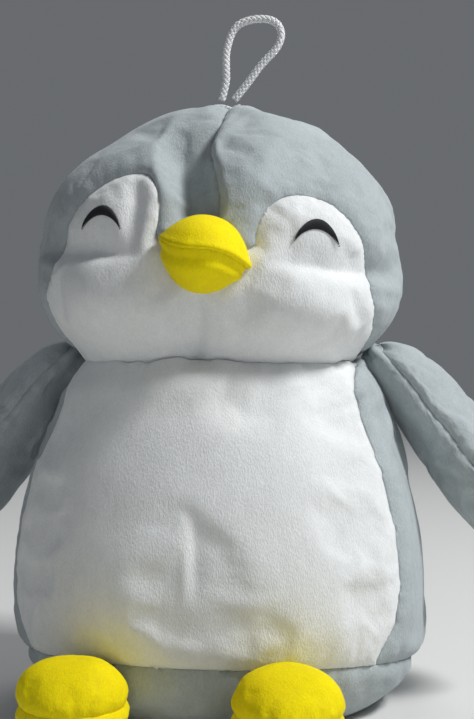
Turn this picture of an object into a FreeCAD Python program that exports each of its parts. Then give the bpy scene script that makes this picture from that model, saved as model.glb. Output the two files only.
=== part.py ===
"""A plush penguin with a round body, a big head, two flippers, two feet and a hanging loop.

Millimetres, +Z up. The toy stands on z = 0 and looks along -Y, so +X is its own left side.
Every sewn piece of fabric is a skin of its own around a stuffing core.

Each stuffed form is first turned about its own long axis and cut into its pieces while it is
round, and the finished pieces are then flattened together, so that their seams still meet.
"""
import FreeCAD
import Part
import math
import os

from FreeCAD import Vector

# Fabric and clearances
skin = 1.8                    # fabric and pile together
joint_gap = 1.0               # room kept between pieces that move against each other
big = 400.0                   # larger than the toy, for cutting tools

# Body: half widths at heights, from the floor to inside the head
depth_ratio = 0.82            # how deep body and head are for their width
floor_half_width = 72.0
lower_half_width = 95.0
lower_height = 27.0
body_half_width = 99.0
belly_height = 57.0
chest_half_width = 91.5
chest_height = 106.0
shoulder_half_width = 77.5
shoulder_height = 143.0
collar_half_width = 58.0
collar_height = 172.0
body_top = 186.0

# Seams of the white belly panel and of the base panel
belly_seam_top = 67.0         # half width of the belly panel under the chin
belly_seam_mid = 79.5         # half width at chest_height
belly_seam_low = 88.0         # half width at belly_height
belly_seam_foot = 81.5        # half width at the lower front corners
front_seam_height = 31.0      # belly panel to base panel
back_seam_height = 12.0       # back panels to base panel

# Head: half widths at heights, from the bottom pole to the crown
head_bottom = 147.0
chin_half_width = 45.0
chin_height = 150.5
jaw_half_width = 68.0
jaw_height = 162.5
cheek_half_width = 82.0
cheek_height = 179.0
head_half_width = 86.5
temple_height = 205.0
brow_half_width = 80.5
brow_height = 233.0
upper_half_width = 59.5
upper_height = 259.0
crown_half_width = 30.0
crown_edge_height = 276.6
crown_height = 281.0

# How the sewn face sits on the head
face_turn = 3.5               # degrees to the toy's left
face_roll = 4.5               # degrees, its left side lower

# Face panel outline, symmetric about the nose before it is turned
lobe_centre_x = 44.5
lobe_radius = 24.5
lobe_base_height = 210.5
bridge_height = 201.0         # where the two lobes part, under the beak
cheek_seam_x = 75.5
cheek_seam_height = 186.0
chin_seam_x = 66.0
chin_seam_height = 160.0

# Eyes, embroidered smiling arcs
eye_centre_x = 47.0
eye_half_width = 9.5
eye_tip_height = 213.0
eye_arch_height = 222.5
eye_stroke = 3.8              # across the arc at its top
thread_height = 0.8           # how far the stitching stands proud

# Beak
beak_half_width = 20.8
beak_half_height = 18.6
beak_height = 203.5
beak_reach = 23.0             # how far it stands out from the face
beak_seat = 5.0               # how far behind the face's surface its middle lies
beak_roll = 16.0              # degrees beyond the face's own roll

# Flippers, along their length from the sewn root
flipper_length = 116.0
flipper_half_width = 30.0
flipper_half_thickness = 19.0
flipper_root_half_width = 13.0
flipper_root_height = 163.0
flipper_back = 14.0           # the root sits this far behind the middle of the body
flipper_spread = 6.0          # degrees out from resting on the chest

# Feet
foot_half_width = 22.5
foot_half_height = 19.5
foot_heel = 19.0              # behind the hinge line
foot_toe = 29.0               # in front of the hinge line
foot_gap = 1.2                # from the heel straight back to the body
foot_centre_x = 43.5
foot_splay = 5.0              # degrees, toes out

# Head travel, a nod about the middle of the head
nod_room = 2.6                # the collar's hollow is this much larger than the head

# Hanging loop: its two ends stand on the bar tack at the crown
cord_diameter = 3.8
tack_length = 13.0
tack_width = 5.0
tack_height = 1.2
LOOP_ROUTE = [
    (0.8, 284.8),
    (3.3, 292.8),
    (2.9, 303.5),
    (4.1, 317.3),
    (15.5, 324.2),
    (27.7, 318.8),
    (30.2, 305.7),
    (19.2, 294.4),
    (7.2, 284.8),
]

BODY_PROFILE = [
    (floor_half_width, 0.0),
    (lower_half_width, lower_height),
    (body_half_width, belly_height),
    (chest_half_width, chest_height),
    (shoulder_half_width, shoulder_height),
    (collar_half_width, collar_height),
    (0.0, body_top),
]
HEAD_PROFILE = [
    (0.0, head_bottom),
    (chin_half_width, chin_height),
    (jaw_half_width, jaw_height),
    (cheek_half_width, cheek_height),
    (head_half_width, temple_height),
    (brow_half_width, brow_height),
    (upper_half_width, upper_height),
    (crown_half_width, crown_edge_height),
    (0.0, crown_height),
]
FLIPPER_PROFILE = [
    (0.0, -flipper_length),
    (0.72 * flipper_half_width, -0.92 * flipper_length),
    (flipper_half_width, -0.62 * flipper_length),
    (0.82 * flipper_half_width, -0.27 * flipper_length),
    (flipper_root_half_width, 0.0),
    (0.0, 0.5 * flipper_root_half_width),
]
FOOT_PROFILE = [
    (0.0, -foot_heel),
    (foot_half_width, 0.0),
    (0.87 * foot_half_width, 0.6 * foot_toe),
    (0.0, foot_toe),
]
BEAK_PROFILE = [
    (0.0, -beak_half_height),
    (0.73 * beak_half_width, -0.69 * beak_half_height),
    (beak_half_width, 0.0),
    (0.73 * beak_half_width, 0.69 * beak_half_height),
    (0.0, beak_half_height),
]

X_AXIS = Vector(1, 0, 0)
Y_AXIS = Vector(0, 1, 0)
Z_AXIS = Vector(0, 0, 1)
ORIGIN = Vector(0, 0, 0)
FACE_CENTRE = Vector(0, 0, temple_height)


# ---------------------------------------------------------------- round forms and tools

def grown(profile, grow):
    """The profile moved out from its own middle by grow, or in where grow is negative."""
    widest = max(radius for radius, height in profile)
    low = profile[0][1]
    high = profile[-1][1]
    middle = 0.5 * (low + high)
    half = 0.5 * (high - low)
    across = (widest + grow) / widest
    along = (half + grow) / half
    return [Vector(r * across, 0, middle + (z - middle) * along) for r, z in profile]


def across_axis(points):
    return [Vector(-point.x, 0, point.z) for point in points]


def profile_curve(profile, grow=0.0):
    """One smooth curve through the profile. It runs on over a pole, so that it is round there."""
    points = grown(profile, grow)
    through = points + across_axis(points[-2:-4:-1])
    if points[0].x == 0:
        through = across_axis(points[2:0:-1]) + through
    curve = Part.BSplineCurve()
    curve.interpolate(through)
    curve.segment(curve.parameter(points[0]), curve.parameter(points[-1]))
    return curve


def half_outline(profile, grow):
    """The profile's two ends on the axis and its edges, with a flat floor where it has one."""
    curve = profile_curve(profile, grow)
    low = Vector(0, 0, curve.StartPoint.z)
    high = Vector(0, 0, curve.EndPoint.z)
    edges = [curve.toShape()]
    if profile[0][0] > 0:
        edges.append(Part.makeLine(low, curve.StartPoint))
    return low, high, edges


def turned(profile, outside=0.0, inside=None, sweep=360):
    """A solid turned about Z inside the profile, or a skin between two growths of it."""
    low, high, edges = half_outline(profile, outside)
    if inside is None:
        edges.append(Part.makeLine(low, high))
    else:
        inner_low, inner_high, inner_edges = half_outline(profile, inside)
        edges += inner_edges
        edges.append(Part.makeLine(low, inner_low))
        edges.append(Part.makeLine(high, inner_high))
    face = Part.Face(Part.Wire(Part.__sortEdges__(edges)))
    return face.revolve(ORIGIN, Z_AXIS, sweep)


def turned_in_halves(profile, outside=0.0, inside=None):
    """The same form made of two halves, so that none of its faces runs all the way round."""
    half = turned(profile, outside, inside, 180)
    return half.fuse(half.mirror(ORIGIN, Y_AXIS))


def half_width_at(profile, height):
    """Half width of a profile at a height, along the same curve that its form is turned from."""
    level = Part.LineSegment(Vector(0, 0, height), Vector(big, 0, height))
    return max(point.X for point in profile_curve(profile).intersectCC(level))


def flattened(shape, ratio):
    """The shape drawn in along Y."""
    squeeze = FreeCAD.Matrix()
    squeeze.scale(1.0, ratio, 1.0)
    return shape.transformGeometry(squeeze)


def on_true_planes(solid):
    """The same solid, with each of its flat faces made again on a plane."""
    flat = [face.findPlane(0.001) is not None for face in solid.Faces]
    if not any(flat):
        return solid
    faces = [Part.makeFace(face.Wires, "Part::FaceMakerBullseye") if is_flat else face
             for face, is_flat in zip(solid.Faces, flat)]
    shell = Part.makeShell(faces)
    shell.sewShape()
    made = Part.makeSolid(shell)
    if made.Volume < 0:
        made.reverse()
    return made


def box_between(low, high):
    size = [high[i] - low[i] for i in range(3)]
    return Part.makeBox(size[0], size[1], size[2], Vector(*low))


def turn(shape, centre, axis, degrees):
    moved = shape.copy()
    moved.rotate(centre, axis, degrees)
    return moved


def mirror(shape):
    return shape.mirror(ORIGIN, X_AXIS)


def largest(shape):
    """The largest solid of a cut's result, without slivers."""
    return max(shape.Solids, key=lambda solid: solid.Volume)


def arc(a, b, c):
    points = [Vector(x, 0, z) for x, z in (a, b, c)]
    return Part.Arc(*points).toShape()


def line(a, b):
    return Part.makeLine(Vector(a[0], 0, a[1]), Vector(b[0], 0, b[1]))


def prism(edges):
    """A front-view outline in the XZ plane, pushed forward through the whole toy."""
    face = Part.Face(Part.Wire(Part.__sortEdges__(edges)))
    return face.extrude(Vector(0, -big, 0))


def on_face(shape):
    """Sets a piece drawn square to the front onto the head as the face is sewn."""
    rolled = turn(shape, FACE_CENTRE, Y_AXIS, face_roll)
    return turn(rolled, FACE_CENTRE, Z_AXIS, face_turn)


def left_half():
    return box_between((0, -big, -big), (big, big, big))


# ---------------------------------------------------------------- head

def face_outline():
    """Two lobes over the eyes, round cheeks, and straight down into the neck."""
    lobe_out = (lobe_centre_x + lobe_radius, lobe_base_height)
    lobe_top = (lobe_centre_x, lobe_base_height + lobe_radius)
    lobe_in = (lobe_centre_x - lobe_radius, lobe_base_height)
    cheek = (cheek_seam_x, cheek_seam_height)
    chin = (chin_seam_x, chin_seam_height)
    under = (chin_seam_x, head_bottom - joint_gap)

    def same(point):
        return point

    def mirrored(point):
        return (-point[0], point[1])

    edges = [arc(lobe_in, (0.0, bridge_height), mirrored(lobe_in))]
    for side in (same, mirrored):
        edges.append(arc(side(lobe_in), side(lobe_top), side(lobe_out)))
        edges.append(arc(side(lobe_out), side(cheek), side(chin)))
        edges.append(line(side(chin), side(under)))
    edges.append(line(under, mirrored(under)))
    return edges


def make_head():
    shell = turned(HEAD_PROFILE, 0.0, -skin)
    face = on_face(prism(face_outline()))
    hood = shell.cut(face)
    half = on_face(left_half())
    parts = {"head_stuffing": turned(HEAD_PROFILE, -skin)}
    parts["face_panel"] = largest(shell.common(face))
    parts["hood_left"] = largest(hood.common(half))
    parts["hood_right"] = largest(hood.cut(half))
    return parts


def make_eye(side):
    """A thin crescent of satin stitch that follows the curve of the face."""
    x = side * eye_centre_x
    inner_tip = (x - eye_half_width, eye_tip_height)
    outer_tip = (x + eye_half_width, eye_tip_height)
    over = arc(inner_tip, (x, eye_arch_height), outer_tip)
    under = arc(inner_tip, (x, eye_arch_height - eye_stroke), outer_tip)
    layer = turned(HEAD_PROFILE, thread_height, 0.0)
    return largest(layer.common(on_face(prism([over, under]))))


def place_beak(form):
    """Stretches a beak form to its depth and seats it in the face."""
    depth = (beak_reach + beak_seat) / depth_ratio / beak_half_width
    form = flattened(form, depth)
    form.translate(Vector(0, -(head_half_width - beak_seat / depth_ratio), beak_height))
    return on_face(turn(form, Vector(0, 0, beak_height), Y_AXIS, beak_roll))


def make_beak():
    """An upper and a lower skin that meet along a level seam, around one core."""
    head = turned(HEAD_PROFILE)
    core = turned_in_halves(BEAK_PROFILE, -skin)
    halves = {
        "beak_upper": box_between((-big, -big, 0), (big, big, big)),
        "beak_lower": box_between((-big, -big, -big), (big, big, 0)),
    }
    parts = {"beak_stuffing": largest(place_beak(core).cut(head))}
    for name, half in halves.items():
        cap = turned_in_halves(BEAK_PROFILE, 0.0, -skin).common(half)
        parts[name] = largest(place_beak(cap).cut(head))
    return parts


def make_loop_tack():
    """The bar tack that closes the crown seam over the cord's two ends."""
    middle = 0.5 * (LOOP_ROUTE[0][0] + LOOP_ROUTE[-1][0])
    straight = 0.5 * (tack_length - tack_width)
    half_depth = 0.5 * tack_width / depth_ratio
    pad = box_between((middle - straight - 0.5 * tack_width, -half_depth, temple_height),
                      (middle + straight + 0.5 * tack_width, half_depth, big))
    return largest(turned(HEAD_PROFILE, tack_height, 0.0).common(pad))


def make_cord(route, diameter):
    """A tube along straight runs joined by the largest arcs that the runs allow."""
    points = [Vector(x, 0, z) for x, z in route]
    edges = []
    start = points[0]
    for before, corner, after in zip(points, points[1:], points[2:]):
        back = before - corner
        ahead = after - corner
        half_turn = 0.5 * (math.pi - back.getAngle(ahead))
        tangent = 0.45 * min(back.Length, ahead.Length)
        radius = tangent / math.tan(half_turn)
        back.normalize()
        ahead.normalize()
        inward = (back + ahead).normalize()
        first = corner + back * tangent
        last = corner + ahead * tangent
        middle = corner + inward * (radius / math.cos(half_turn) - radius)
        edges.append(Part.LineSegment(start, first).toShape())
        edges.append(Part.Arc(first, middle, last).toShape())
        start = last
        print(f"cord radius {radius:.1f} mm, {radius / diameter:.1f} diameters")
    edges.append(Part.LineSegment(start, points[-1]).toShape())
    path = Part.Wire(edges)
    ring = Part.Wire(Part.makeCircle(0.5 * diameter, points[0], points[1] - points[0]))
    tube = path.makePipeShell([ring], True, True)
    section = math.pi * (0.5 * diameter) ** 2
    print(f"cord length {path.Length:.1f} mm, volume {tube.Volume:.0f}"
          f" for {section * path.Length:.0f} mm3")
    return tube


# ---------------------------------------------------------------- body

def belly_outline():
    """The belly panel's front view, widest low down, open into the neck and below the base."""
    neck = (belly_seam_top, jaw_height)
    corner = (belly_seam_foot, 0.0)
    points = [neck, (belly_seam_mid, chest_height), (belly_seam_low, belly_height), corner]
    top = (belly_seam_top, body_top)
    edges = [line((-top[0], top[1]), top), line((-corner[0], corner[1]), corner)]
    for side in (-1, 1):
        curve = Part.BSplineCurve()
        curve.interpolate([Vector(side * x, 0, z) for x, z in points])
        edges.append(curve.toShape())
        edges.append(line((side * top[0], top[1]), (side * neck[0], neck[1])))
    return edges


def under_base_seam():
    """Everything under the base panel's seam, which slopes down to the back."""
    slope = math.atan2(front_seam_height - back_seam_height, 2 * body_half_width)
    middle = 0.5 * (front_seam_height + back_seam_height)
    below = box_between((-big, -big, -big), (big, big, middle))
    return turn(below, Vector(0, 0, middle), X_AXIS, -math.degrees(slope))


def make_body():
    hollow = turned(HEAD_PROFILE, nod_room)
    core = turned(BODY_PROFILE, -skin).cut(hollow)
    shell = turned(BODY_PROFILE, 0.0, -skin).cut(hollow)
    base = under_base_seam()
    belly = prism(belly_outline())
    upper = shell.cut(base)
    back = upper.cut(belly)
    half = left_half()
    parts = {"body_stuffing": largest(core)}
    parts["base_panel"] = largest(shell.common(base))
    parts["belly_panel"] = largest(upper.common(belly))
    parts["back_left"] = largest(back.common(half))
    parts["back_right"] = largest(back.cut(half))
    return parts


# ---------------------------------------------------------------- flippers and feet

def flipper_root():
    """The sewn root, in the notch between the head and the body, just clear of both."""
    cap = 0.5 * flipper_root_half_width
    beside_head = half_width_at(HEAD_PROFILE, flipper_root_height + 0.7 * cap)
    beside_body = half_width_at(BODY_PROFILE, flipper_root_height - 0.7 * cap)
    return Vector(max(beside_head, beside_body) + 0.7 * cap + joint_gap, flipper_back,
                  flipper_root_height)


def flipper_hang():
    """Degrees from straight down at which the flipper clears the chest, and its spread."""
    root = flipper_root()
    angles = []
    for radius, height in ((chest_half_width, chest_height), (body_half_width, belly_height)):
        across = radius - root.x
        down = root.z - height
        away = math.hypot(across, down)
        clear = (flipper_half_thickness + joint_gap) / away
        angles.append(math.degrees(math.atan2(across, down) + math.asin(min(clear, 1.0))))
    return max(angles) + flipper_spread


def make_flipper():
    """The left flipper, its two skins seamed down the leading and the trailing edge."""
    ratio = flipper_half_thickness / flipper_half_width
    half_skin = turn(turned(FLIPPER_PROFILE, 0.0, -skin, 180), ORIGIN, Z_AXIS, 180)
    outer = flattened(half_skin, ratio)
    parts = {
        "flipper_left_stuffing": flattened(turned(FLIPPER_PROFILE, -skin), ratio),
        "flipper_left_outer": outer,
        "flipper_left_inner": outer.mirror(ORIGIN, Y_AXIS),
    }
    for name, shape in parts.items():
        shape = turn(shape, ORIGIN, Z_AXIS, 90)
        shape = turn(shape, ORIGIN, Y_AXIS, -flipper_hang())
        shape.translate(flipper_root())
        parts[name] = shape
    return parts


def foot_hinge():
    """The hinge line's middle, so far forward that every part of the heel clears the body."""
    reach = []
    for step in range(9):
        up = -0.8 + 0.2 * step
        wall = half_width_at(BODY_PROFILE, foot_half_height * (1 + up))
        for side in (-0.8, -0.6, -0.4, -0.2, 0.0, 0.2):
            heel = foot_heel * math.sqrt(max(0.0, 1 - up ** 2 - side ** 2))
            x = foot_centre_x + side * foot_half_width
            reach.append(depth_ratio * math.sqrt(wall ** 2 - x ** 2) + heel)
    return Vector(foot_centre_x, -max(reach) - foot_gap, foot_half_height)


def make_foot():
    """The left foot, toe forward and heel against the body, an upper skin and a sole."""
    round_box = profile_curve(FOOT_PROFILE).toShape().optimalBoundingBox(False)
    ratio = foot_half_height / round_box.XMax
    upper = flattened(turned(FOOT_PROFILE, 0.0, -skin, 180), ratio)
    parts = {
        "foot_left_stuffing": flattened(turned(FOOT_PROFILE, -skin), ratio),
        "foot_left_top": upper,
        "foot_left_sole": upper.mirror(ORIGIN, Y_AXIS),
    }
    for name, shape in parts.items():
        shape = turn(shape, ORIGIN, X_AXIS, 90)
        shape = turn(shape, ORIGIN, Z_AXIS, foot_splay)
        shape.translate(foot_hinge())
        parts[name] = on_true_planes(shape)
    return parts


def export(name, shape):
    shape.exportStep(f"parts/{name}.step")
    box = shape.optimalBoundingBox(False)
    print(f"{name}: {'' if shape.isValid() else 'NOT VALID '}{shape.Volume / 1000:.2f} cm3,"
          f" x {box.XMin:.1f} {box.XMax:.1f}, y {box.YMin:.1f} {box.YMax:.1f},"
          f" z {box.ZMin:.1f} {box.ZMax:.1f}")


def main():
    os.makedirs("parts", exist_ok=True)
    round_parts = {**make_head(), **make_beak(), **make_body()}
    round_parts["eye_left"] = make_eye(1)
    round_parts["eye_right"] = make_eye(-1)
    round_parts["loop_tack"] = make_loop_tack()
    for name, shape in round_parts.items():
        export(name, on_true_planes(flattened(shape, depth_ratio)))
    for name, shape in {**make_flipper(), **make_foot()}.items():
        export(name, shape)
        export(name.replace("left", "right"), mirror(shape))
    export("hanging_loop", make_cord(LOOP_ROUTE, cord_diameter))
    print(f"flipper root {flipper_root()}, hang {flipper_hang():.1f} degrees")
    print(f"foot hinge {foot_hinge()}")


main()
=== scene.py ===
# %% [markdown]
# # A plush penguin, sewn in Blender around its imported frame
# The frame holds the toy's real sizes: a stuffing core for every limb, the joints it moves on and
# the route of its hanging cord. Each stuffed form here is a fine closed mesh blown onto its own
# core, cut along the seams, and pulled in at them as thread pulls cloth in.

# %% Load the frame
import bmesh
import bpy
import math
import numpy as np
from mathutils import Matrix, Vector, bvhtree, kdtree, noise


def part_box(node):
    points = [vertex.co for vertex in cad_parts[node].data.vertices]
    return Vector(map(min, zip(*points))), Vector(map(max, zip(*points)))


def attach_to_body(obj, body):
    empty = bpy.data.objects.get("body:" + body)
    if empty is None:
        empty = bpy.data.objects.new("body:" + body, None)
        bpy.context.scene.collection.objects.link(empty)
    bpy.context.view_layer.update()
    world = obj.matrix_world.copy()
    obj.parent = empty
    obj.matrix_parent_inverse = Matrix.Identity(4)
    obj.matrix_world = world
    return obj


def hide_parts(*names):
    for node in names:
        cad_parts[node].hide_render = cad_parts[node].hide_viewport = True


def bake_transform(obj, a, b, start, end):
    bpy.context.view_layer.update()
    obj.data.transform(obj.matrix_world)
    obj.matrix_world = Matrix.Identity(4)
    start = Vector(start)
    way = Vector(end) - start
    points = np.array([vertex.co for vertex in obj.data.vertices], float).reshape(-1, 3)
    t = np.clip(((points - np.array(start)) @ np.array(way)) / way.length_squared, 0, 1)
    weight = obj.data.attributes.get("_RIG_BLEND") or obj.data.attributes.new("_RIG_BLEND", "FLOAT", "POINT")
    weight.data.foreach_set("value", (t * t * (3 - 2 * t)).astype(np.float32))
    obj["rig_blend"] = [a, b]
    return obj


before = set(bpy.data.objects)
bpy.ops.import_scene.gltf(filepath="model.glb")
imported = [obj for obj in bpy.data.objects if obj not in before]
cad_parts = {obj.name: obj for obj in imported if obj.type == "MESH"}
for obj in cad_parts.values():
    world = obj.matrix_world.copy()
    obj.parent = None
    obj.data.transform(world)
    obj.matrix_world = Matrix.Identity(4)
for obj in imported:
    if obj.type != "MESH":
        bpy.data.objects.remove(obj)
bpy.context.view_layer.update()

# %% [markdown]
# ## Camera and light
# A level camera stands about half a metre in front, a little to the toy's left. The sky alone
# could light the toy, but velour shows its folds only where light grazes it. So one soft light
# stands high beside the toy's left, a weak wide one fills the front, and one behind it lifts the
# outline off the background.

# %% Camera
camera_azimuth = math.radians(9)
camera_distance = 0.56
camera_height = 0.16
camera_sideways = 0.0082
right_of_view = Vector((math.cos(camera_azimuth), math.sin(camera_azimuth), 0))
away = Vector((math.sin(camera_azimuth), -math.cos(camera_azimuth), 0))
camera_data = bpy.data.cameras.new("camera")
camera_data.lens = 58.3
camera_data.sensor_width = 36
camera = bpy.data.objects.new("camera", camera_data)
camera.location = away * camera_distance + right_of_view * camera_sideways
camera.location.z = camera_height
camera.rotation_euler = (math.pi / 2, 0, camera_azimuth)
bpy.context.scene.collection.objects.link(camera)
bpy.context.scene.camera = camera
bpy.context.scene.view_settings.view_transform = "Standard"
print("camera:", camera_data.lens, "mm lens,", camera_distance, "m away")

# %% Lights, floor and sky
def soft_light(name, place, aim, size, power):
    data = bpy.data.lights.new(name, "AREA")
    data.size = size
    data.energy = power
    light = bpy.data.objects.new(name, data)
    light.location = place
    light.rotation_euler = (Vector(aim) - Vector(place)).to_track_quat("-Z", "Y").to_euler()
    bpy.context.scene.collection.objects.link(light)


middle = (0, 0, 0.14)
soft_light("key", (1.02, -0.26, 1.32), middle, 0.32, 23)
soft_light("fill", (0.1, -1.6, 0.35), middle, 1.2, 0.8)
soft_light("rim", (-0.1, 0.9, 1.4), middle, 0.9, 5)

world = bpy.data.worlds.new("studio")
bpy.context.scene.world = world
world.use_nodes = True
world.node_tree.nodes["Background"].inputs["Color"].default_value = (0.78, 0.82, 0.88, 1)
world.node_tree.nodes["Background"].inputs["Strength"].default_value = 0.18

bpy.ops.mesh.primitive_plane_add(size=6)
floor = bpy.context.object
floor.name = "floor"
print("lights:", len(bpy.data.lights))

# %% [markdown]
# ## Materials
# All the cloth is one short-pile velour in three colours. Its pile is too fine to model hair by
# hair, and strands would show little more than a fine bump at this size. So a shared node group
# makes its look from the place on the piece: a fine speckle of fibre tips that gives a height for
# the bump, painted shade where the pile lies deep between the tips, and broad, faint patches of
# painted shade where the nap lies another way.

# %% Node helpers
def socket(group, name, kind, way, value=None):
    item = group.interface.new_socket(name=name, in_out=way, socket_type=kind)
    if value is not None:
        item.default_value = value
    return item


def node(tree, kind, **settings):
    made = tree.nodes.new(kind)
    for name, value in settings.items():
        setattr(made, name, value)
    return made


def noise_node(tree, place, scale, detail=2.0, roughness=0.5):
    made = node(tree, "ShaderNodeTexNoise")
    made.inputs["Scale"].default_value = scale
    made.inputs["Detail"].default_value = detail
    made.inputs["Roughness"].default_value = roughness
    tree.links.new(place, made.inputs["Vector"])
    return made.outputs["Fac"]


def math_node(tree, operation, a, b):
    made = node(tree, "ShaderNodeMath", operation=operation)
    for slot, value in zip(made.inputs, (a, b)):
        if isinstance(value, bpy.types.NodeSocket):
            tree.links.new(value, slot)
        else:
            slot.default_value = value
    return made.outputs[0]


def spread(tree, value, low, high, to_low, to_high):
    made = node(tree, "ShaderNodeMapRange")
    tree.links.new(value, made.inputs["Value"])
    for name, number in (("From Min", low), ("From Max", high), ("To Min", to_low), ("To Max", to_high)):
        made.inputs[name].default_value = number
    return made.outputs["Result"]


# %% Velour pile group
def make_pile_group():
    group = bpy.data.node_groups.new("velour_pile", "ShaderNodeTree")
    socket(group, "Place", "NodeSocketVector", "INPUT")
    socket(group, "Colour", "NodeSocketColor", "INPUT", (0.8, 0.8, 0.8, 1))
    # the darker colour is painted shade, for the deep pile and the patches of nap
    socket(group, "Painted Shade Colour", "NodeSocketColor", "INPUT", (0.5, 0.5, 0.5, 1))
    socket(group, "Mottle", "NodeSocketFloat", "INPUT", 0.2)
    socket(group, "Colour", "NodeSocketColor", "OUTPUT")
    socket(group, "Height", "NodeSocketFloat", "OUTPUT")
    socket(group, "Roughness", "NodeSocketFloat", "OUTPUT")
    inside = node(group, "NodeGroupInput")
    outside = node(group, "NodeGroupOutput")
    place = inside.outputs["Place"]
    lying = node(group, "ShaderNodeMapping")
    lying.inputs["Scale"].default_value = (1, 1, 0.45)
    group.links.new(place, lying.inputs["Vector"])
    patches = noise_node(group, place, 26, 3, 0.55)
    strokes = noise_node(group, lying.outputs[0], 240, 3, 0.6)
    fibres = noise_node(group, lying.outputs[0], 1500, 2, 0.6)
    tips = spread(group, fibres, 0.35, 0.7, 0, 1)
    brushed = spread(group, strokes, 0.3, 0.7, 0, 1)
    lay = spread(group, patches, 0.35, 0.65, 0, 1)
    height = math_node(group, "ADD", math_node(group, "MULTIPLY", tips, 0.6),
                       math_node(group, "MULTIPLY", brushed, 0.4))
    # painted shade: the deep pile between the tips, and patches where the nap lies another way, mix towards
    # the darker colour
    depth = math_node(group, "SUBTRACT", 1.0, height)
    shade = math_node(group, "ADD", math_node(group, "MULTIPLY", depth, 0.55),
                      math_node(group, "MULTIPLY", lay, inside.outputs["Mottle"]))
    mix = node(group, "ShaderNodeMix", data_type="RGBA")
    group.links.new(shade, mix.inputs["Factor"])
    group.links.new(inside.outputs["Colour"], mix.inputs["A"])
    group.links.new(inside.outputs["Painted Shade Colour"], mix.inputs["B"])
    group.links.new(mix.outputs["Result"], outside.inputs["Colour"])
    group.links.new(height, outside.inputs["Height"])
    group.links.new(spread(group, brushed, 0, 1, 0.72, 0.95), outside.inputs["Roughness"])
    return group


pile = make_pile_group()


# %% Velour in three colours
def velour(name, colour, painted_shade_colour, mottle=0.25, sheen=0.15):
    made = bpy.data.materials.new(name)
    made.use_nodes = True
    tree = made.node_tree
    shader = tree.nodes["Principled BSDF"]
    place = node(tree, "ShaderNodeTexCoord").outputs["Object"]
    cloth = node(tree, "ShaderNodeGroup", node_tree=pile)
    tree.links.new(place, cloth.inputs["Place"])
    cloth.inputs["Colour"].default_value = (*colour, 1)
    cloth.inputs["Painted Shade Colour"].default_value = (*painted_shade_colour, 1)
    cloth.inputs["Mottle"].default_value = mottle
    tree.links.new(cloth.outputs["Colour"], shader.inputs["Base Color"])
    tree.links.new(cloth.outputs["Roughness"], shader.inputs["Roughness"])
    bump = node(tree, "ShaderNodeBump")
    bump.inputs["Strength"].default_value = 0.35
    bump.inputs["Distance"].default_value = 0.0006
    tree.links.new(cloth.outputs["Height"], bump.inputs["Height"])
    tree.links.new(bump.outputs["Normal"], shader.inputs["Normal"])
    shader.inputs["Sheen Weight"].default_value = sheen
    shader.inputs["Sheen Roughness"].default_value = 0.45
    shader.inputs["Sheen Tint"].default_value = (*[min(1, 0.5 + 0.5 * c) for c in colour], 1)
    shader.inputs["Specular IOR Level"].default_value = 0.15
    return made


# each cloth's second colour is the painted shade of its deep pile and its patches of nap
grey_velour = velour("grey_velour", (0.50, 0.555, 0.57), (0.30, 0.335, 0.35))
white_velour = velour("white_velour", (0.88, 0.90, 0.90), (0.68, 0.695, 0.70))
yellow_velour = velour("yellow_velour", (0.98, 0.86, 0.004), (0.80, 0.55, 0.002), 0.2, 0.0)
fill_fibre = velour("fill_fibre", (0.9, 0.9, 0.89), (0.72, 0.72, 0.71))
print("cloths:", grey_velour.name, white_velour.name, yellow_velour.name, fill_fibre.name)

# %% [markdown]
# ## Cord and thread
# The cord and the embroidery are twisted fibre, smoother and glossier than velour. The yarns
# are modelled one by one, so their material needs only the fibre inside a yarn: a fine noise
# that drives colour, gloss and a very shallow bump together. The colour is painted shade,
# darker where the bump is low between the fibres.

# %% Cord and embroidery thread
def yarn(name, colour, gloss, scale, sheen=0.3):
    made = bpy.data.materials.new(name)
    made.use_nodes = True
    tree = made.node_tree
    shader = tree.nodes["Principled BSDF"]
    place = node(tree, "ShaderNodeTexCoord").outputs["Object"]
    fibre = noise_node(tree, place, scale, 3, 0.6)
    # painted shade: the colour is darker where the fibre noise, and with it the bump, is low
    mix = node(tree, "ShaderNodeMix", data_type="RGBA")
    tree.links.new(spread(tree, fibre, 0.3, 0.7, 0, 1), mix.inputs["Factor"])
    mix.inputs["A"].default_value = (*[0.72 * c for c in colour], 1)
    mix.inputs["B"].default_value = (*colour, 1)
    tree.links.new(mix.outputs["Result"], shader.inputs["Base Color"])
    tree.links.new(spread(tree, fibre, 0.3, 0.7, gloss + 0.12, gloss), shader.inputs["Roughness"])
    bump = node(tree, "ShaderNodeBump")
    bump.inputs["Strength"].default_value = 0.4
    bump.inputs["Distance"].default_value = 0.0001
    tree.links.new(fibre, bump.inputs["Height"])
    tree.links.new(bump.outputs["Normal"], shader.inputs["Normal"])
    shader.inputs["Sheen Weight"].default_value = sheen
    return made


cord_yarn = yarn("cord_yarn", (0.84, 0.85, 0.86), 0.6, 1800)
white_thread = yarn("white_thread", (0.85, 0.86, 0.87), 0.45, 2400)
black_thread = yarn("black_thread", (0.004, 0.006, 0.009), 0.55, 2400, 0.0)
print("yarns:", cord_yarn.name, white_thread.name, black_thread.name)

# %% Floor paint
floor_paint = bpy.data.materials.new("floor_paint")
floor_paint.use_nodes = True
floor_paint.node_tree.nodes["Principled BSDF"].inputs["Base Color"].default_value = (0.72, 0.72, 0.71, 1)
floor_paint.node_tree.nodes["Principled BSDF"].inputs["Roughness"].default_value = 0.8
floor.data.materials.append(floor_paint)

# %% [markdown]
# ## The hanging cord
# A loop of soft braided cord stands on the crown, its two ends sewn in side by side. A smooth tube
# with a bump would look like plastic where the braid meets the outline. So its line is one smooth
# spline, and the braid is eight yarns that wind around that line, four each way, each one passing
# over the next and under the one after.

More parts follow.
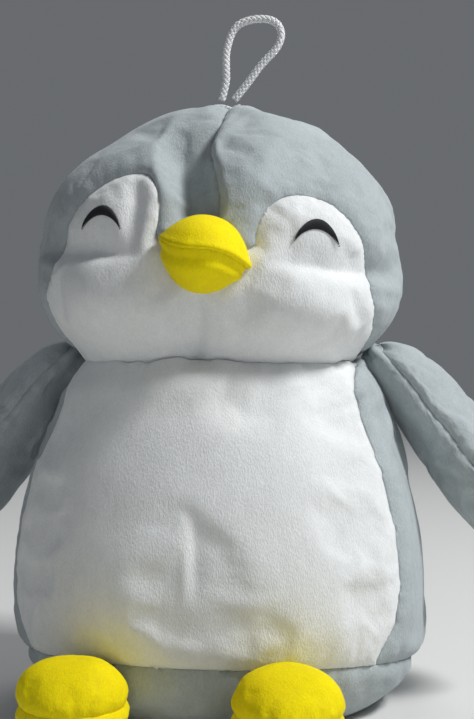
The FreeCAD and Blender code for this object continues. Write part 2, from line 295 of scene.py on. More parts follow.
# %% Cord line
cord_diameter = 0.0038
loop_route = [
    (0.0008, 0.2848),
    (0.0033, 0.2928),
    (0.0030, 0.3000),
    (0.0030, 0.3090),
    (0.0070, 0.3200),
    (0.0155, 0.3232),
    (0.0262, 0.3225),
    (0.0305, 0.3160),
    (0.0280, 0.3085),
    (0.0203, 0.3015),
    (0.0135, 0.2922),
    (0.0072, 0.2848),
]


def curve_along(name, route, thickness):
    data = bpy.data.curves.new(name, "CURVE")
    data.dimensions = "3D"
    data.resolution_u = 24
    data.bevel_depth = thickness / 2
    data.bevel_resolution = 6
    data.use_fill_caps = True
    spline = data.splines.new("NURBS")
    spline.points.add(len(route) - 1)
    for point, (x, z) in zip(spline.points, route):
        point.co = (x, 0, z, 1)
    spline.order_u = 3
    spline.use_endpoint_u = True
    piece = bpy.data.objects.new(name, data)
    bpy.context.scene.collection.objects.link(piece)
    return piece


cord_core = curve_along("hanging_cord", loop_route, 0.84 * cord_diameter)


# %% Braid
def line_of(route, steps):
    """Evenly spaced points and the distance along the route's own spline."""
    bare = curve_along("bare", route, 0)
    bare.data.resolution_u = 64
    mesh = bpy.data.meshes.new_from_object(bare)
    points = np.array([v.co for v in mesh.vertices])
    bpy.data.objects.remove(bare)
    run = np.concatenate([[0], np.cumsum(np.linalg.norm(np.diff(points, axis=0), axis=1))])
    even = np.linspace(0, run[-1], steps)
    return np.stack([np.interp(even, run, points[:, k]) for k in range(3)], 1), even


def tube(shell, centres, across, up, wide, thick, sides=6):
    """Adds a yarn of elliptic section around its centres to a bmesh."""
    angles = np.arange(sides) * 2 * math.pi / sides
    rings = []
    for c, a, u in zip(centres, across, up):
        rings.append([shell.verts.new(c + a * wide * math.cos(t) + u * thick * math.sin(t)) for t in angles])
    for first, second in zip(rings, rings[1:]):
        for k in range(sides):
            shell.faces.new((first[k], first[(k + 1) % sides], second[(k + 1) % sides], second[k]))
    shell.faces.new(rings[0][::-1])
    shell.faces.new(rings[-1])


def make_braid(route, diameter, yarns=8, pitch=0.0095, steps=620):
    centres, run = line_of(route, steps)
    ahead = np.gradient(centres, axis=0)
    ahead /= np.linalg.norm(ahead, axis=1)[:, None]
    flat = np.tile([0.0, 1.0, 0.0], (steps, 1))
    beside = np.cross(flat, ahead)
    shell = bmesh.new()
    for number in range(yarns):
        way = 1 if number % 2 == 0 else -1
        turn = 2 * math.pi * (way * run / pitch + (number // 2) / (yarns // 2) + 0.06)
        over = np.cos(yarns * math.pi * run / pitch + (0 if way > 0 else math.pi))
        radius = 0.375 * diameter + 0.04 * diameter * over
        out = np.cos(turn)[:, None] * flat + np.sin(turn)[:, None] * beside
        middle = centres + out * radius[:, None]
        along = np.gradient(middle, axis=0)
        along /= np.linalg.norm(along, axis=1)[:, None]
        side = np.cross(along, out)
        tube(shell, middle, side, out, 0.21 * diameter, 0.085 * diameter)
    bmesh.ops.recalc_face_normals(shell, faces=shell.faces[:])
    return shell


print("cord:", len(loop_route), "points in its route")

# %% [markdown]
# ## How a stuffed form is made
# Cloth lies over a firm core of fibre. A ball of rings would gather at its poles, and a remeshed
# core loses its even squares. A cube cut into small squares and blown up to a ball has neither
# fault, so its cloth wrinkles evenly. Its points are thrown outwards from the middle of a core
# until they land on it, and then moved out by the thickness of the cloth.

# %% Blow a ball onto a core
skin = 0.0018


def quad_ball(cuts):
    """Directions and squares of a cube blown up to a ball."""
    shell = bmesh.new()
    bmesh.ops.create_cube(shell, size=2)
    bmesh.ops.subdivide_edges(shell, edges=shell.edges[:], cuts=cuts - 1, use_grid_fill=True)
    for vert in shell.verts:
        spread_out = [math.tan(c * math.pi / 4) for c in vert.co]
        vert.co = Vector(spread_out).normalized()
    bmesh.ops.recalc_face_normals(shell, faces=shell.faces[:])
    return shell


def core_tree(name):
    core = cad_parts[name].data
    return bvhtree.BVHTree.FromPolygons([v.co for v in core.vertices],
                                        [p.vertices[:] for p in core.polygons])


def blow_onto(core, cuts, half_sizes, tilt=None):
    """A ball of squares on a core's surface, first stretched to the core's own half sizes."""
    low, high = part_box(core)
    centre = (low + high) / 2
    tree = core_tree(core)
    shell = quad_ball(cuts)
    for vert in shell.verts:
        way = Vector(a * b for a, b in zip(vert.co, half_sizes))
        if tilt is not None:
            way = tilt @ way
        hit = tree.ray_cast(centre, way.normalized())
        if hit[0] is None:
            raise ValueError(f"a ray missed {core}")
        vert.co = hit[0]
    shell.normal_update()
    return shell


def places(shell):
    return np.array([v.co for v in shell.verts])


def move_to(shell, points):
    for vert, point in zip(shell.verts, points):
        vert.co = point
    shell.normal_update()


def push(shell, distance):
    """Moves each point along its normal, by one distance or by one for each point."""
    normals = np.array([v.normal for v in shell.verts])
    distance = np.broadcast_to(distance, len(normals))
    move_to(shell, places(shell) + normals * distance[:, None])


# %% Soft hills, hollows and lumps
def hill(x, width):
    return np.exp(-(x / width) ** 2)


def ramp(x, low, high):
    """Smoothly 0 to 1 as x goes from low to high."""
    t = np.clip((x - low) / (high - low), 0, 1)
    return t * t * (3 - 2 * t)


def lumps(points, size, seed):
    """Gentle waves of the given size, -1 to 1, the same each time."""
    shift = Vector((seed * 7.31, seed * 3.17, seed * 5.93))
    return np.array([noise.noise(Vector(p) / size + shift) for p in points])


# %% [markdown]
# ## Seams
# Two cloths meet edge to edge and are turned out, so the join is a groove. A groove painted with
# bump would vanish at the outline, so the seams are cut in the mesh.
# A seam is where a value goes from minus to plus over the cloth. Every square that the line
# crosses is cut there, so the two cloths meet in one clean edge. Thread then draws the edge in,
# and the spare cloth on both sides stands in small puckers across it.

# %% Cut along a seam
snap = 0.00025  # a point nearer to the line than this lies on it


def cut_along(shell, value_at, panels, panel, inside_panel):
    """Cuts the faces of some panels where value_at is zero, and names the minus side."""
    side = shell.verts.layers.float["side"]
    label = shell.faces.layers.int["panel"]
    values = value_at(places(shell))
    for vert, value in zip(shell.verts, values):
        vert[side] = 0.0 if abs(value) < snap else value
    cloth = [f for f in shell.faces if f[label] in panels]
    crossed = {e for f in cloth for e in f.edges if e.verts[0][side] * e.verts[1][side] < 0}
    for edge in sorted(crossed, key=lambda e: e.index):
        start, end = edge.verts
        share = start[side] / (start[side] - end[side])
        made = bmesh.utils.edge_split(edge, start, share)[1]
        made[side] = 0.0
    for face in cloth:
        on_line = [v for v in face.verts if v[side] == 0]
        below = any(v[side] < 0 for v in face.verts)
        above = any(v[side] > 0 for v in face.verts)
        if below and above and len(on_line) == 2:
            bmesh.utils.face_split(face, *on_line)
    for face in shell.faces:
        if face[label] in panels and sum(v[side] for v in face.verts) < 0:
            face[label] = inside_panel
    shell.verts.index_update()
    shell.edges.index_update()
    shell.faces.index_update()
    shell.normal_update()


def seam_points(shell):
    """The points where two panels meet."""
    label = shell.faces.layers.int["panel"]
    return [v for v in shell.verts if len({f[label] for f in v.link_faces}) > 1]


def start_panels(shell):
    shell.verts.layers.float.new("side")
    shell.faces.layers.int.new("panel")
    shell.edges.index_update()


def sew(shell, depth, width, pucker, wave, seed):
    """Draws the seams in and leaves puckers across them."""
    line = seam_points(shell)
    tree = kdtree.KDTree(len(line))
    for number, vert in enumerate(line):
        tree.insert(vert.co, number)
    tree.balance()
    moves = []
    for vert in shell.verts:
        near, number, away_from = tree.find(vert.co)
        ripple = noise.noise(near / wave + Vector((seed, 0, 0)))
        draw = depth * math.exp(-(away_from / width) ** 1.4)
        stand = pucker * ripple * math.exp(-(away_from / (3.2 * width)) ** 2)
        moves.append(stand * min(1, 0.35 + away_from / width) - draw)
    push(shell, np.array(moves))


# %% Make the panels
cloth_thickness = 0.0014
firm_fill = 0.8


def attach(piece, body):
    """Puts a finished piece on one body, or across a joint: two bodies and where it starts and ends."""
    if isinstance(body, str):
        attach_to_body(piece, body)
    else:
        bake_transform(piece, body[0], body[1], start=body[2], end=body[3])


def finish_piece(shell, name, material, nodes):
    """A mesh object at the origin from a shell, shaded smooth."""
    data = bpy.data.meshes.new(name)
    shell.to_mesh(data)
    shell.free()
    piece = bpy.data.objects.new(name, data)
    bpy.context.scene.collection.objects.link(piece)
    data.materials.append(material)
    data.polygons.foreach_set("use_smooth", [True] * len(data.polygons))
    for layer in [a for a in data.attributes if a.name in ("side", "panel")]:
        data.attributes.remove(layer)
    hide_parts(*nodes)
    return piece


def apply_modifier(piece, kind, **settings):
    modifier = piece.modifiers.new(kind.lower(), kind)
    for name, value in settings.items():
        setattr(modifier, name, value)
    bpy.ops.object.select_all(action="DESELECT")
    bpy.context.view_layer.objects.active = piece
    piece.select_set(True)
    bpy.ops.object.modifier_apply(modifier=modifier.name)


def cut_out(shell, number):
    """A copy that holds one panel's faces only."""
    panel = shell.copy()
    label = panel.faces.layers.int["panel"]
    others = [f for f in panel.faces if f[label] != number]
    bmesh.ops.delete(panel, geom=others, context="FACES")
    return panel


def make_panels(shell, body, panels):
    """panels: one row for each, of number, name, material, CAD node, slot and fill."""
    for number, name, material, cad_node, slot, fill in panels:
        piece = finish_piece(cut_out(shell, number), name, material, [cad_node])
        apply_modifier(piece, "SOLIDIFY", thickness=cloth_thickness, offset=-1, use_rim=True,
                       use_even_offset=False)
        attach(piece, body)
        print(name, len(piece.data.polygons), "faces")


def make_fill(shell, name, body, cad_node):
    """The stuffing, a clear step inside the cloth, with the small lumps of packed fibre."""
    core = shell.copy()
    push(core, -1.7 * cloth_thickness + 0.0003 * lumps(places(core), 0.006, 3))
    attach(finish_piece(core, name, fill_fibre, [cad_node]), body)


def refine(shell):
    """One level of smooth subdivision."""
    data = bpy.data.meshes.new("refined")
    shell.to_mesh(data)
    shell.free()
    piece = bpy.data.objects.new("refined", data)
    bpy.context.scene.collection.objects.link(piece)
    apply_modifier(piece, "SUBSURF", levels=1, render_levels=1)
    finer = bmesh.new()
    finer.from_mesh(piece.data)
    bpy.data.objects.remove(piece)
    finer.normal_update()
    return finer


# %% [markdown]
# ## Let the stuffing press the cloth out
# A short cloth simulation with air pressure inside, and the seams pinned, fills each panel and
# lets the cloth buckle where it has too little room. No point may move further than the cap.

# %% Inflate
cloth_growth = -0.03


def inflate(shell, held, pressure, frames, cap):
    """held is 0 to 1 for each point, where 1 is pinned."""
    data = bpy.data.meshes.new("pressed")
    shell.to_mesh(data)
    piece = bpy.data.objects.new("pressed", data)
    bpy.context.scene.collection.objects.link(piece)
    pins = piece.vertex_groups.new(name="pins")
    for number, weight in enumerate(held):
        if weight > 0.01:
            pins.add([number], float(weight), "REPLACE")
    cloth = piece.modifiers.new("cloth", "CLOTH")
    settings = cloth.settings
    settings.quality = 5
    settings.mass = 0.15
    settings.tension_stiffness = 12
    settings.compression_stiffness = 12
    settings.shear_stiffness = 4
    settings.bending_stiffness = 0.3
    settings.shrink_min = cloth_growth
    settings.use_pressure = True
    settings.uniform_pressure_force = pressure
    settings.vertex_group_mass = "pins"
    settings.pin_stiffness = 1
    settings.effector_weights.gravity = 0
    cloth.collision_settings.use_self_collision = False
    cloth.collision_settings.use_collision = False
    cloth.point_cache.frame_end = frames + 1
    for step in range(1, frames + 1):
        bpy.context.scene.frame_set(step)
    pressed = piece.evaluated_get(bpy.context.evaluated_depsgraph_get())
    before = places(shell)
    after = np.array([v.co for v in pressed.data.vertices])
    move = after - before
    length = np.maximum(np.linalg.norm(move, axis=1), 1e-9)
    move *= (cap * np.tanh(length / cap) / length)[:, None]
    print(f"pressed out {1000 * length.mean():.1f} mm, at most {1000 * length.max():.1f} mm")
    move_to(shell, before + move)
    bpy.data.objects.remove(piece)
    bpy.context.scene.frame_set(1)


# %% [markdown]
# ## The head
# The white face is one cloth with two lobes over the eyes. A dart at each side pulls the lobe in
# and throws the cheek out below it. The grey hood is two cloths that meet in a seam from the beak
# over the crown. Beside that seam the forehead steps down into a hollow, whose wall at the
# seam keeps the light out. The outlines could be drawn on a flat pattern, but the head turns and rolls a
# little on the neck, so they are drawn in the face's own square view and thrown onto the head.

# %% The face's own square view
depth_ratio = 0.82
face_turn = math.radians(3.5)
face_roll = math.radians(4.5)
face_level = 0.205


def square_to_face(points):
    """Points as the maker sees them, looking straight at the sewn face."""
    x, y, z = points[:, 0], points[:, 1] / depth_ratio, points[:, 2] - face_level
    turn_cos, turn_sin = math.cos(face_turn), math.sin(face_turn)
    roll_cos, roll_sin = math.cos(face_roll), math.sin(face_roll)
    x, y = x * turn_cos + y * turn_sin, y * turn_cos - x * turn_sin
    x, z = x * roll_cos - z * roll_sin, x * roll_sin + z * roll_cos
    return x, y * depth_ratio, z + face_level


def face_to_world(x, y, z):
    """The reverse of square_to_face, for one point."""
    z, y = z - face_level, y / depth_ratio
    turn_cos, turn_sin = math.cos(face_turn), math.sin(face_turn)
    roll_cos, roll_sin = math.cos(face_roll), math.sin(face_roll)
    x, z = x * roll_cos + z * roll_sin, z * roll_cos - x * roll_sin
    x, y = x * turn_cos - y * turn_sin, x * turn_sin + y * turn_cos
    return Vector((x, y * depth_ratio, z + face_level))


def smooth_line(points, steps=10):
    """A closed line of many short steps through a few points."""
    points = np.array(points)
    line = []
    for i in range(len(points)):
        a, b, c, d = (points[(i + k) % len(points)] for k in (-1, 0, 1, 2))
        for t in np.arange(steps) / steps:
            line.append(0.5 * (2 * b + (c - a) * t + (2 * a - 5 * b + 4 * c - d) * t ** 2
                               + (3 * b - a - 3 * c + d) * t ** 3))
    return np.array(line)


def outside_of(line, x, z):
    """Signed distance to a closed line, minus inside it."""
    point = np.stack([x, z], 1)
    best = np.full(len(point), 1e9)
    crossings = np.zeros(len(point), int)
    for a, b in zip(line, np.roll(line, -1, 0)):
        along = b - a
        share = np.clip(((point - a) @ along) / (along @ along), 0, 1)
        best = np.minimum(best, np.linalg.norm(point - a - share[:, None] * along, axis=1))
        over = (a[1] > z) != (b[1] > z)
        with np.errstate(divide="ignore", invalid="ignore"):
            meets = a[0] + (z - a[1]) / (b[1] - a[1]) * along[0]
        crossings += over & (x < meets)
    return np.where(crossings % 2 == 1, -best, best)


face_left_half = [
    (0.0200, 0.2085), (0.0215, 0.2165), (0.0250, 0.2258), (0.0320, 0.2322), (0.0410, 0.2345),
    (0.0515, 0.2322), (0.0610, 0.2258), (0.0678, 0.2165), (0.0700, 0.2065), (0.0730, 0.1970),
    (0.0758, 0.1870), (0.0752, 0.1770), (0.0708, 0.1680), (0.0650, 0.1590), (0.0600, 0.1400),
]
face_right_half = [
    (-0.0200, 0.2090), (-0.0213, 0.2205), (-0.0236, 0.2318), (-0.0300, 0.2388), (-0.0400, 0.2386),
    (-0.0505, 0.2342), (-0.0600, 0.2262), (-0.0665, 0.2160), (-0.0688, 0.2065), (-0.0725, 0.1970),
    (-0.0755, 0.1870), (-0.0750, 0.1770), (-0.0705, 0.1680), (-0.0650, 0.1590), (-0.0600, 0.1400),
]
face_line = smooth_line([(0.0, 0.2035)] + face_left_half + face_right_half[::-1])


# %% How the hood's seam sways
def hood_sway(y, z):
    """How far the hood's seam swings to the side of the middle on the forehead."""
    return np.where(y < 0, -0.0045 * hill(z - 0.254, 0.013) + 0.003 * hill(z - 0.226, 0.010), 0)


# %% Shape the head
dart_level = 0.2030
dart_depth = 0.0046
cheek_swell = 0.0074
lobe_swell = 0.0018
hollow_depth = 0.0128


def shape_head(shell):
    """Cheeks, darts, lobes and the forehead's hollow, as distances along the normal."""
    points = places(shell)
    x, y, z = square_to_face(points)
    front = ramp(-y, 0.005, 0.035)
    move = np.full(len(points), skin)
    for side in (-1, 1):
        across = x * side
        # a dart pulls in below the eye, soft above its line and sharp below it
        dart = ramp(across, 0.020, 0.052)
        level = dart_level + 0.0008 * np.sin(across * 90)
        below = level - z
        crease = np.where(below > 0, hill(below, 0.0036), hill(below, 0.0085))
        move -= dart_depth * dart * crease * front
        # the cheek swells under the dart, and the lobe round the eye a little
        move += cheek_swell * hill(across - 0.048, 0.026) * hill(z - 0.1855, 0.0125) * front
        move += lobe_swell * hill(across - 0.044, 0.017) * hill(z - 0.2230, 0.012) * front
    # the hollow starts steeply at the hood's seam and runs out at the lobe beside it
    bridge = ramp(z, 0.211, 0.227) * (1 - ramp(z, 0.245, 0.272))
    beside = hood_sway(y, z) - x
    hollow = ramp(beside, -0.0038, 0.0012) * (1 - ramp(beside, 0.012, 0.024))
    move -= (0.0006 + hollow_depth * bridge) * hollow * front
    # the brows on both sides of the seam, and the chin's faint parting
    move += 0.0036 * hill(x - 0.015, 0.013) * hill(z - 0.248, 0.018) * front
    move += 0.0012 * hill(x + 0.034, 0.016) * hill(z - 0.247, 0.014) * front
    move -= 0.0020 * hill(x, 0.012) * (1 - ramp(z, 0.176, 0.19)) * front
    # a dent beside the lobe's edge, a flatter temple, and a pinch where the cheek meets the hood
    dent = hill(x + 0.0315, 0.0052) * hill(z - 0.2235, 0.0130) * front
    move -= 0.0036 * dent
    move -= 0.0042 * hill(x + 0.048, 0.030) * ramp(z, 0.235, 0.262)
    pinch = ramp(x, 0.068, 0.078) * hill(z - 0.1935 + 0.1 * (x - 0.08), 0.0017)
    move -= 0.0016 * pinch
    move += 0.0007 * lumps(points, 0.035, 1) + 0.0003 * lumps(points, 0.012, 2)
    push(shell, move)


# %% Where the head's seams run
def face_side(points):
    x, y, z = square_to_face(points)
    return np.maximum(outside_of(face_line, x, z), y - 0.004)


def hood_side(points):
    x, y, z = square_to_face(points)
    return hood_sway(y, z) - x


# %% Sew the head
head_shell = blow_onto("head_stuffing", 44, (0.086, 0.071, 0.067))
shape_head(head_shell)
seam_hold = hill(np.abs(face_side(places(head_shell))), 0.004)
middle_hold = hill(hood_side(places(head_shell)), 0.004) * (face_side(places(head_shell)) > 0)
inflate(head_shell, np.clip(seam_hold + middle_hold, 0, 1), 1.2, 12, 0.003)
make_fill(head_shell, "head_fill", "head", "head_stuffing")
head_shell = refine(head_shell)
start_panels(head_shell)
cut_along(head_shell, face_side, {0}, 0, 1)
cut_along(head_shell, hood_side, {0}, 0, 2)
sew(head_shell, 0.0021, 0.0026, 0.0011, 0.0065, 4)
make_panels(head_shell, "head", [
    (1, "face_velour", white_velour, "face_panel", "white_plush", firm_fill),
    (2, "hood_left_velour", grey_velour, "hood_left", "grey_plush", firm_fill),
    (0, "hood_right_velour", grey_velour, "hood_right", "grey_plush", firm_fill),
])
head_tree = bvhtree.BVHTree.FromBMesh(head_shell)
head_shell.free()

# %% [markdown]
# ## Finish the cord
# The braid and the spline under it swing together on their own body.

# %% Finish the cord
braid = finish_piece(make_braid(loop_route, cord_diameter), "cord_braid", cord_yarn, [])
attach(braid, "loop")
cord_core.data.materials.append(cord_yarn)
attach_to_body(cord_core, "loop")
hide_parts("hanging_loop")

# %% [markdown]
# ## The body
# A white belly cloth with two long side seams, two grey backs that meet behind, and a grey base
# cloth under a seam that slopes down to the back. The belly sags a little over that seam, and a
# short fold stands in the middle of it. The neck is sewn all round, so the belly and the backs
# bend between the torso and the head instead of riding on one of them.

# %% Where the body's seams run
belly_seam = [(0.0690, 0.1700), (0.0685, 0.1620), (0.0695, 0.1450), (0.0740, 0.1300), (0.0815, 0.1120),
              (0.0880, 0.0860), (0.0905, 0.0620), (0.0878, 0.0440), (0.0800, 0.0290), (0.0730, 0.0000)]


def seam_half_width(z):
    heights = [p[1] for p in reversed(belly_seam)]
    widths = [p[0] for p in reversed(belly_seam)]
    return np.interp(z, heights, widths)


def base_side(points):
    slope = (0.031 - 0.012) / (2 * 0.099 * depth_ratio)
    return points[:, 2] - (0.0215 - slope * points[:, 1])


def belly_side(points):
    x, y, z = points.T
    return np.maximum(np.abs(x + 0.002) - seam_half_width(z), y)


def back_side(points):
    return -points[:, 0]


def in_hollow(points):
    """Whether a point lies in the hollow that takes the head."""
    return (points[:, 2] > 0.135) & (np.hypot(points[:, 0], points[:, 1] / depth_ratio) < 0.0700)


# %% Shape the body
def shape_body(shell):
    points = places(shell)
    x, y, z = points.T
    front = ramp(-y, 0.0, 0.03)
    move = np.full(len(points), skin)
    # the belly's fullness, the waist below the arms and the roll under the chin
    move += 0.0030 * hill(z - 0.060, 0.030) * front * hill(x, 0.06)
    move -= 0.0028 * hill(z - 0.130, 0.016) * ramp(np.abs(x), 0.03, 0.07) * front
    move += 0.0024 * hill(z - 0.150, 0.010) * front * hill(x, 0.055)
    # the standing fold in the middle, with a shallow trough beside it
    ridge = hill(x + 0.0010 + 0.05 * (z - 0.08), 0.0014) - 0.8 * hill(x - 0.0030, 0.0036)
    move += 0.0018 * ridge * ramp(z, 0.056, 0.072) * (1 - ramp(z, 0.086, 0.100)) * front
    # two slanting creases where the belly meets the flipper at the toy's left
    fold = hill(z - 0.148 - 0.35 * (x - 0.052), 0.0026) * hill(x - 0.055, 0.014)
    fold += 0.7 * hill(z - 0.139 - 0.30 * (x - 0.062), 0.0022) * hill(x - 0.064, 0.010)
    move -= 0.0016 * fold * front
    move += 0.0009 * lumps(points, 0.05, 5) + 0.0004 * lumps(points, 0.016, 6)
    push(shell, np.where(in_hollow(points), -0.0004, move))


# %% Close the neck
def meet_head(shell):
    """The cloth's edge at the neck rises until it lies against the head."""
    points = places(shell)
    lower = 0.030 * points[:, 0] + 0.0014 * hill(points[:, 0], 0.040)
    share = ramp(points[:, 2] - lower, 0.1480, 0.1570)
    for number, (point, part) in enumerate(zip(points, share)):
        if part > 0:
            near, normal, index, gap = head_tree.find_nearest(Vector(point))
            points[number] += part * (np.array(near - 0.0012 * normal) - point)
    move_to(shell, points)


# %% Sew the body
body_shell = blow_onto("body_stuffing", 48, (0.099, 0.081, 0.080))
shape_body(body_shell)
start = places(body_shell)
held = hill(belly_side(start), 0.004) + hill(base_side(start), 0.004) + in_hollow(start)
held += ramp(-start[:, 2], -0.012, -0.004)
inflate(body_shell, np.clip(held, 0, 1), 1.2, 12, 0.002)
make_fill(body_shell, "body_fill", "torso", "body_stuffing")
meet_head(body_shell)
body_shell = refine(body_shell)
start_panels(body_shell)
cut_along(body_shell, base_side, {0}, 0, 1)
cut_along(body_shell, belly_side, {0}, 0, 2)
cut_along(body_shell, back_side, {0}, 0, 3)
sew(body_shell, 0.0021, 0.0026, 0.0009, 0.0075, 9)
make_panels(body_shell, "torso", [
    (1, "base_velour", grey_velour, "base_panel", "grey_plush", firm_fill),
])
make_panels(body_shell, ("torso", "head", (0, 0, 0.140), (0, 0, 0.159)), [
    (2, "belly_velour", white_velour, "belly_panel", "white_plush", firm_fill),
    (3, "back_left_velour", grey_velour, "back_left", "grey_plush", firm_fill),
    (0, "back_right_velour", grey_velour, "back_right", "grey_plush", firm_fill),
])
body_shell.free()

# %% [markdown]
# ## Flippers and feet
# Each flipper is two cloths sewn edge to edge and turned out, gathered where it is sewn on. Each
# foot has an upper and a sole. Left and right come from one function with a side of 1 or -1, not
# from a mirror, so that their lumps and puckers differ as two sewn pieces do.

# %% Flippers
flipper_root = Vector((0.0792, 0.014, 0.163))
flipper_hang = math.radians(38.2)


def make_flipper(name, side):
    tilt = Matrix.Rotation(-side * flipper_hang, 3, "Y")
    root = Vector((side * flipper_root.x, flipper_root.y, flipper_root.z))
    shell = blow_onto(f"{name}_stuffing", 32, (0.019, 0.03, 0.061), tilt)

    def local(points):
        return (points - np.array(root)) @ np.array(tilt)

    def outer_side(points):
        return -side * local(points)[:, 0] + 0.0004 * np.sin(local(points)[:, 2] * 240)

    points = places(shell)
    x, y, z = local(points).T
    gather = hill(z - 0.004, 0.017)
    around = np.arctan2(y, x)
    move = skin + 0.0010 * gather * np.sin(7 * around + 60 * z)
    move += 0.0009 * lumps(points, 0.03, 11 + side) + 0.0004 * lumps(points, 0.011, 12)
    push(shell, move)
    inflate(shell, hill(local(places(shell))[:, 0], 0.003), 1.0, 10, 0.002)
    tuck = ramp(local(places(shell))[:, 2], -0.010, 0.005)[:, None]
    move_to(shell, places(shell) + tuck * np.array([-0.0045 * side, 0, -0.0008]))
    down = tilt @ Vector((0, 0, -1))
    bend = ("torso", name, root - 0.006 * down, root + 0.018 * down)
    make_fill(shell, f"{name}_fill", bend, f"{name}_stuffing")
    shell = refine(shell)
    start_panels(shell)
    cut_along(shell, outer_side, {0}, 0, 1)
    sew(shell, 0.0016, 0.0024, 0.0014, 0.0060, 15 + side)
    make_panels(shell, bend, [
        (1, f"{name}_outer_velour", grey_velour, f"{name}_outer", "grey_plush", firm_fill),
        (0, f"{name}_inner_velour", grey_velour, f"{name}_inner", "grey_plush", firm_fill),
    ])
    shell.free()


make_flipper("flipper_left", 1)
make_flipper("flipper_right", -1)


# %% Feet
foot_hinge_x = 0.0435
foot_hinge_y = -0.0895
foot_half_sizes = (0.0225, 0.024, 0.0195)


def make_foot(name, side):
    shell = blow_onto(f"{name}_stuffing", 22, foot_half_sizes)

    def sole_side(points):
        return points[:, 2] - 0.0205

    points = places(shell)
    across, forward, up = ((points - points.mean(0)) / np.array(foot_half_sizes)).T
    shoulder = (2 * np.abs(across) * np.clip(up, 0, 1)) ** 2 * ramp(-forward, -0.3, 0.3)
    move = skin + 0.0008 * lumps(points, 0.02, 21 + side) + 0.0003 * lumps(points, 0.009, 22)
    move += 0.0028 * shoulder
    push(shell, np.where(points[:, 2] < 0.004, skin, move))
    start = places(shell)
    held = hill(sole_side(start), 0.003) + ramp(-start[:, 2], -0.008, -0.003)
    inflate(shell, np.clip(held, 0, 1), 1, 10, 0.0015)
    bend_start = (side * foot_hinge_x, foot_hinge_y + 0.019, 0)
    bend_end = (side * foot_hinge_x, foot_hinge_y - 0.002, 0)
    bend = ("torso", name, bend_start, bend_end)
    make_fill(shell, f"{name}_fill", bend, f"{name}_stuffing")
    heel = ramp(places(shell)[:, 1], foot_hinge_y - 0.002, foot_hinge_y + 0.019)[:, None]
    move_to(shell, places(shell) + heel * np.array([0, 0.0030, 0]))
    shell = refine(shell)
    start_panels(shell)
    cut_along(shell, sole_side, {0}, 0, 1)
    sew(shell, 0.0016, 0.0022, 0.0010, 0.0050, 31 + side)
    make_panels(shell, bend, [
        (1, f"{name}_sole_velour", yellow_velour, f"{name}_sole", "yellow_plush", firm_fill),
        (0, f"{name}_top_velour", yellow_velour, f"{name}_top", "yellow_plush", firm_fill),
    ])
    shell.free()


make_foot("foot_left", 1)
make_foot("foot_right", -1)

# %% [markdown]
# ## The beak
# An upper and a lower cloth meet in a seam that turns down at the toy's left. Its lips stand out
# a little, and the two corners are drawn to points. It is small and packed tight, so its swell
# is moved in code, where a cloth simulation might round the points off.

# %% The beak's own view
beak_centre = Vector((0, 0, 0.2035))
beak_roll = math.radians(16)


def beak_frame(points):
    """Along the mouth, outwards and up, from the beak's own middle."""
    x, y, z = square_to_face(points)
    z = z - beak_centre.z
    along = x * math.cos(beak_roll) - z * math.sin(beak_roll)
    up = x * math.sin(beak_roll) + z * math.cos(beak_roll)
    return along, y, up


def mouth_height(along):
    return 0.0003 + 0.0021 * np.sin(math.pi * along / 0.0208)


def mouth_side(points):
    along, out, up = beak_frame(points)
    return up - mouth_height(along)


# %% Shape the beak
def shape_beak(shell):
    """Points drawn towards the mouth at both corners, a lip above the mouth, a flatter jaw below."""
    points = places(shell)
    along, out, up = beak_frame(points)
    above = up - mouth_height(along)
    corner = np.clip(np.abs(along) / 0.0195, 0, 1) ** 3
    drop = above * (0.05 + 0.42 * corner)
    upward = np.array(face_to_world(math.sin(beak_roll), 0, face_level + math.cos(beak_roll)))
    upward -= np.array(face_to_world(0, 0, face_level))
    move_to(shell, points - drop[:, None] * upward)
    move = skin + 0.0003 * lumps(points, 0.012, 41)
    move += 0.0013 * hill(above - 0.0012, 0.0022) - 0.0018 * hill(above + 0.0034, 0.0030)
    move -= 0.0016 * ramp(-above, 0.004, 0.012)
    push(shell, move)


# %% Sew the beak
beak_shell = blow_onto("beak_stuffing", 28, (0.0208, 0.014, 0.0186))
shape_beak(beak_shell)
make_fill(beak_shell, "beak_fill", "head", "beak_stuffing")
beak_shell = refine(beak_shell)
start_panels(beak_shell)
cut_along(beak_shell, mouth_side, {0}, 0, 1)
sew(beak_shell, 0.0010, 0.0014, 0.0006, 0.0060, 43)
make_panels(beak_shell, "head", [
    (1, "beak_lower_velour", yellow_velour, "beak_lower", "yellow_plush", firm_fill),
    (0, "beak_upper_velour", yellow_velour, "beak_upper", "yellow_plush", firm_fill),
])
beak_shell.free()

# %% [markdown]
# ## Embroidery
# Each eye is a crescent of satin stitch: threads laid side by side from one edge to the other,
# over a low pad, longest in the middle. A flat patch would miss their ridges, so every thread is
# a thin tube that follows the cloth below it. The bar tack at the crown is laid in the same way.

# %% Lay threads on cloth
def cloth_tree(*names):
    """All the named pieces as one surface."""
    points, faces = [], []
    for name in names:
        data = bpy.data.objects[name].data
        faces += [[i + len(points) for i in p.vertices] for p in data.polygons]
        points += [v.co.copy() for v in data.vertices]
    return bvhtree.BVHTree.FromPolygons(points, faces)


def on_cloth(tree, start, way):
    hit = tree.ray_cast(start, way.normalized())
    if hit[0] is None:
        raise ValueError(f"no cloth in front of {start}")
    normal = hit[1] if hit[1].dot(way) < 0 else -hit[1]
    return hit[0], normal


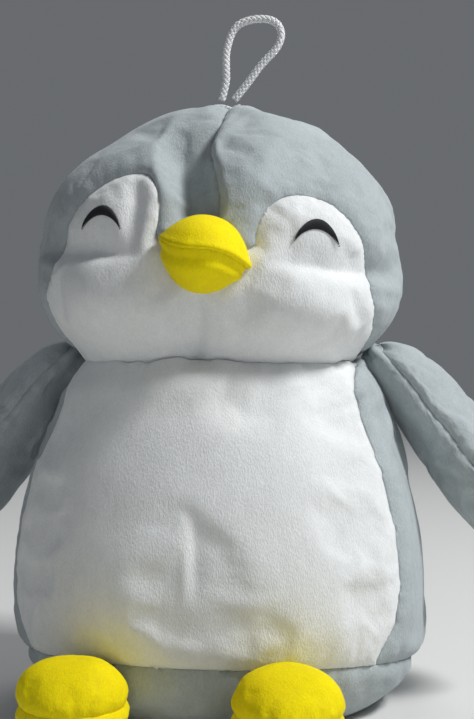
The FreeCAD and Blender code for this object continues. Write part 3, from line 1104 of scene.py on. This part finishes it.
def lay_threads(shell, tree, pairs, aim, thread, height):
    """Threads between pairs of points, arched over the cloth that lies along aim from them."""
    for first, last in pairs:
        centres, out = [], []
        for share in np.linspace(0, 1, 9):
            place, normal = on_cloth(tree, first.lerp(last, float(share)), aim)
            arch = math.sqrt(max(0.0, 1 - (2 * share - 1) ** 2))
            centres.append(place + normal * (height * (0.25 + 0.75 * arch) - 0.0001))
            out.append(normal)
        centres, out = np.array(centres), np.array(out)
        along = np.gradient(centres, axis=0)
        along /= np.maximum(np.linalg.norm(along, axis=1), 1e-9)[:, None]
        tube(shell, centres, np.cross(along, out), out, thread, thread)


# %% Eyes
def make_eye(name, side):
    tree = cloth_tree("face_velour")
    shell = bmesh.new()
    half, tip, arch, stroke = 0.0094, 0.2132, 0.2228, 0.0036
    aim = face_to_world(0, 1, 0) - face_to_world(0, 0, 0)
    centre_x = side * 0.0468
    pairs = []
    for share in np.linspace(-1, 1, 62):
        swell = 1 - share ** 2
        slant = 0.012 * share
        over = (centre_x + half * share, tip + (arch - tip) * swell ** 0.8)
        under = (centre_x + half * share * 0.93, tip + (arch - tip - stroke) * swell ** 0.8)
        over_point = face_to_world(over[0], -0.2, over[1] + 0.0004)
        under_point = face_to_world(under[0] + slant * 0.02, -0.2, under[1] - 0.0004)
        pairs.append((under_point, over_point))
    lay_threads(shell, tree, pairs, aim, 0.00024, 0.0009)
    bmesh.ops.recalc_face_normals(shell, faces=shell.faces[:])
    attach(finish_piece(shell, f"{name}_threads", black_thread, [name]), "head")


make_eye("eye_left", 1)
make_eye("eye_right", -1)


# %% Bar tack
def make_tack():
    tree = cloth_tree("hood_left_velour", "hood_right_velour")
    shell = bmesh.new()
    down = Vector((0, 0, -1))
    pairs = []
    for share in np.linspace(-1, 1, 34):
        x = 0.004 + 0.0062 * share
        reach = 0.0026 * (1 - 0.25 * share ** 4)
        pairs.append((Vector((x, -reach, 0.32)), Vector((x + 0.0002, reach, 0.32))))
    lay_threads(shell, tree, pairs, down, 0.00024, 0.0022)
    bmesh.ops.recalc_face_normals(shell, faces=shell.faces[:])
    attach(finish_piece(shell, "tack_threads", white_thread, ["loop_tack"]), "head")


make_tack()
